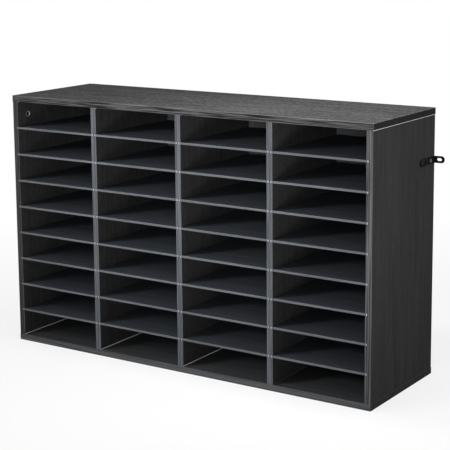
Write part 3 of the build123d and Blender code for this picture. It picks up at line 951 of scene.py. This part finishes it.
# %% [markdown]
# ## Cam bolts
#
# Each cam grips the head of a bolt that is screwed into the top. It is turned steel: a threaded end, a
# smooth shaft, a thin neck for the cam's slot, and a conical head. No photograph shows it, but a cabinet
# taken apart does. Its rings are listed from the threaded end down, with z = 0 at the top's underside.

# %% Cam bolts
bolt_sizes = {
    "Upright pitch": upright_pitch, "Spread": FASTENER_SPREAD, "Level": ceiling_z,
    "Thread length": 10.5 * MM, "Thread start": 0.8 * MM, "Tip bevel": 0.6 * MM,
    "Thread core": 1.9 * MM, "Thread crest": 2.4 * MM, "Thread pitch": 1.4 * MM,
    "Collar radius": 2.3 * MM, "Collar height": 0.2 * MM,
    "Shaft radius": 3.75 * MM, "Shaft length": 25.5 * MM, "Shaft bevel": 0.25 * MM,
    "Neck radius": 2.2 * MM, "Neck end": 29.15 * MM,
    "Head radius": 3.3 * MM, "Head full": 30.35 * MM, "Head end": 32.35 * MM, "Head bevel": 0.4 * MM,
}
BOLT_SIDES = 20
BOLT_RINGS = 40

tree, size = start_tree("cam_bolt_maker", bolt_sizes)
tip, core, collar = size["Thread length"], size["Thread core"], size["Collar radius"]
shaft, neck, head = size["Shaft radius"], size["Neck radius"], size["Head radius"]
shaft_edge = minus(tree, shaft, size["Shaft bevel"])


def below(label, less=0.0):
    """A height so far under the top panel."""
    return minus(tree, less, size[label])


upper = [(0.0, tip), (minus(tree, core, size["Tip bevel"]), tip), (core, minus(tree, tip, size["Tip bevel"]))]
lower = [(core, size["Thread start"]), (collar, size["Collar height"]), (collar, 0.0), (shaft_edge, 0.0)]
lower += [(shaft, below("Shaft bevel")), (shaft, below("Shaft length", size["Shaft bevel"]))]
lower += [(shaft_edge, below("Shaft length")), (neck, below("Shaft length")), (neck, below("Neck end"))]
lower += [(head, below("Head full")), (head, below("Head end", size["Head bevel"]))]
lower += [(minus(tree, head, size["Head bevel"]), below("Head end")), (0.0, below("Head end"))]
bolt = threaded(tree, size, upper, lower, BOLT_SIDES, BOLT_RINGS)
set_out(tree, bolt, along_uprights(tree, size, point(tree, 0, 0, size["Level"])), plated_steel)
build("detailed_cam_bolts", tree, bolt_sizes, "cam_bolts")

# %% [markdown]
# ## Base screws
#
# The base hangs on long countersunk screws with a hexagon socket, seen only from below. The socket is
# cut with a six-sided rod. The rings run from the tip down to the head, with z = 0 under the base.

# %% Base screws
base_screw_sizes = {
    "Upright pitch": upright_pitch, "Spread": FASTENER_SPREAD, "Board": BOARD,
    "Tip": 50.5 * MM, "Tip length": 1.2 * MM, "Thread start": 1.0 * MM,
    "Thread core": 1.9 * MM, "Thread crest": 2.45 * MM, "Thread pitch": 2.4 * MM, "Collar radius": 2.3 * MM,
    "Shank radius": 3.4 * MM, "Shank bevel": 0.3 * MM,
    "Head depth": 0.5 * MM, "Head radius": 5.0 * MM, "Head bevel": 0.1 * MM,
    "Socket": 4.0 * MM, "Socket depth": 2.5 * MM,
}
SCREW_SIDES = 24
SCREW_RINGS = 84
TIP_SHARE = 0.45
HEXAGON = 6

tree, size = start_tree("base_screw_maker", base_screw_sizes)
tip, core, board = size["Tip"], size["Thread core"], size["Board"]
shank, head, foot = size["Shank radius"], size["Head radius"], size["Head depth"]
head_bevel, shank_bevel = size["Head bevel"], size["Shank bevel"]
upper = [(0.0, tip), (times(tree, core, TIP_SHARE), tip), (core, minus(tree, tip, size["Tip length"]))]
lower = [(core, plus(tree, board, size["Thread start"])), (size["Collar radius"], board)]
lower += [(minus(tree, shank, shank_bevel), board), (shank, minus(tree, board, shank_bevel))]
lower += [(shank, plus(tree, foot, minus(tree, head, shank)))]
lower += [(minus(tree, head, head_bevel), plus(tree, foot, head_bevel))]
lower += [(minus(tree, head, times(tree, head_bevel, 2.0)), foot), (0.0, foot)]
screw = threaded(tree, size, upper, lower, SCREW_SIDES, SCREW_RINGS)
socket_radius = sum_up(tree, "DIVIDE", size["Socket"], math.sqrt(3))
socket_height = times(tree, size["Socket depth"], 2.0)
key_hole = rod(tree, HEXAGON, socket_radius, socket_height, point(tree, 0, 0, foot))
screw = carve(tree, screw, SCREW_SIDES, key_hole)
set_out(tree, screw, along_uprights(tree, size, (0, 0, 0)), plated_steel)
build("detailed_base_screws", tree, base_screw_sizes, "base_screws")

# %% [markdown]
# ## Beech dowels
#
# Dowels keep the top in line while the cams pull it down. Shop dowels are fluted, so that glue and air
# can escape, and their ends are bevelled. The flutes come from the rolled grid itself: its radius dips
# once for every three of its sides.

# %% Dowels
dowel_sizes = {
    "Upright pitch": upright_pitch, "Spread": 164 * MM, "Level": ceiling_z, "Radius": 4.0 * MM,
    "In top": 10.5 * MM, "In upright": 19.5 * MM, "Bevel": 0.9 * MM,
}
FLUTES = 18
SIDES_TO_A_FLUTE = 3
FLUTE_SHARE = 0.07

tree, size = start_tree("dowel_maker", dowel_sizes)
radius, high, bevel = size["Radius"], size["In top"], size["Bevel"]
low = times(tree, size["In upright"], -1.0)
end_radius = minus(tree, radius, bevel)
rings = [(0.0, high), (end_radius, high), (radius, minus(tree, high, bevel))]
rings += [(radius, plus(tree, low, bevel)), (end_radius, low), (0.0, low)]
dowel = weld(tree, turned(tree, rings, SIDES_TO_A_FLUTE * FLUTES, FLUTES, FLUTE_SHARE))
set_out(tree, dowel, along_uprights(tree, size, point(tree, 0, 0, size["Level"])), beech)
build("fluted_dowels", tree, dowel_sizes, "wood_dowels")

# %% [markdown]
# ## Bracket screws
#
# One zinc screw with a domed head and a cross recess holds each strap to its side panel. The dome could
# be a flattened half ball, but the stamped one is a little fuller, so a power of sine and cosine gives
# its rings. A line of two points sets the screws out, left and right.

# %% Bracket screws
STRAP = 2 * MM
bracket_z = (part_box("wall_bracket_right")[0].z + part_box("wall_bracket_right")[1].z) / 2
bracket_screw_sizes = {
    "Face x": side_face_x + STRAP, "Face y": 127.8 * MM, "Face z": bracket_z,
    "Head radius": 4.0 * MM, "Head height": 2.4 * MM, "Collar radius": 1.9 * MM,
    "Shank": 13.0 * MM, "Thread start": 0.5 * MM, "Tip length": 1.8 * MM, "Tip radius": 0.35 * MM,
    "Thread core": 1.5 * MM, "Thread crest": 2.0 * MM, "Thread pitch": 1.6 * MM,
    "Cross span": 4.2 * MM, "Cross bar": 1.0 * MM, "Cross depth": 1.4 * MM,
}
BRACKETS = 2
DOME_SIDES = 32
DOME_RINGS = 42
DOME_STEPS = 6
DOME_FULLNESS = 0.8


def dome_share(step):
    """Shares of the head's radius and height, step by step from the crown to the rim."""
    angle = math.radians(90) * step / DOME_STEPS
    return math.sin(angle) ** DOME_FULLNESS, math.cos(angle) ** DOME_FULLNESS


tree, size = start_tree("bracket_screw_maker", bracket_screw_sizes)
core = size["Thread core"]
dome = [dome_share(step) for step in range(DOME_STEPS + 1)]
upper = [(times(tree, size["Head radius"], out), times(tree, size["Head height"], up)) for out, up in dome]
upper += [(size["Collar radius"], 0.0), (core, times(tree, size["Thread start"], -1.0))]
tip = times(tree, size["Shank"], -1.0)
lower = [(core, plus(tree, tip, size["Tip length"])), (size["Tip radius"], tip), (0.0, tip)]
screw = threaded(tree, size, upper, lower, DOME_SIDES, DOME_RINGS)
screw = carve(tree, screw, DOME_SIDES, *cross(tree, size, size["Head height"]))
left_x = times(tree, size["Face x"], -1.0)
ends = {"Count": BRACKETS, "Start Location": point(tree, left_x, size["Face y"], size["Face z"])}
ends["Offset"] = point(tree, size["Face x"], size["Face y"], size["Face z"])
points = add_node(tree, "GeometryNodeMeshLine", ends, mode="END_POINTS").outputs[0]
index = add_node(tree, "GeometryNodeInputIndex").outputs[0]
side = sum_up(tree, "MULTIPLY_ADD", index, 2.0, -1.0)
set_out(tree, screw, points, darker_zinc, facing(tree, side, (0, 1, 0)))
build("detailed_bracket_screws", tree, bracket_screw_sizes, "bracket_screws")

# %% [markdown]
# ## Wall brackets
#
# Each strap is stamped from sheet, bent, and painted, so its edges are slightly round. The CAD straps
# have the right shape with sharp edges. A copy of each is welded, its flat triangles are dissolved into
# whole faces, and a fine bevel rounds what is left. The bevel is applied, so a plain mesh is handed over.

# %% Softened brackets
import bmesh

STRAP_ROUNDING = 0.35 * MM
ROUNDING_SEGMENTS = 2
ROUNDED_FROM = math.radians(40)
FLAT_WITHIN = math.radians(2)


def softened(node, name):
    """A copy of a CAD strap with rounded edges."""
    copy = bmesh.new()
    copy.from_mesh(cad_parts[node].data)
    bmesh.ops.remove_doubles(copy, verts=copy.verts, dist=2 * WELD)
    bmesh.ops.dissolve_limit(copy, angle_limit=FLAT_WITHIN, verts=copy.verts, edges=copy.edges)
    start = bpy.data.meshes.new(name + "_start")
    copy.to_mesh(start)
    copy.free()
    start.materials.append(strap_paint)
    piece = put_in_scene(name, start)
    rounding = piece.modifiers.new("rounding", "BEVEL")
    rounding.width = STRAP_ROUNDING
    rounding.segments = ROUNDING_SEGMENTS
    rounding.limit_method = "ANGLE"
    rounding.angle_limit = ROUNDED_FROM
    hand_over(piece, rounding, node)


softened("wall_bracket_left", "softened_bracket_left")
softened("wall_bracket_right", "softened_bracket_right")
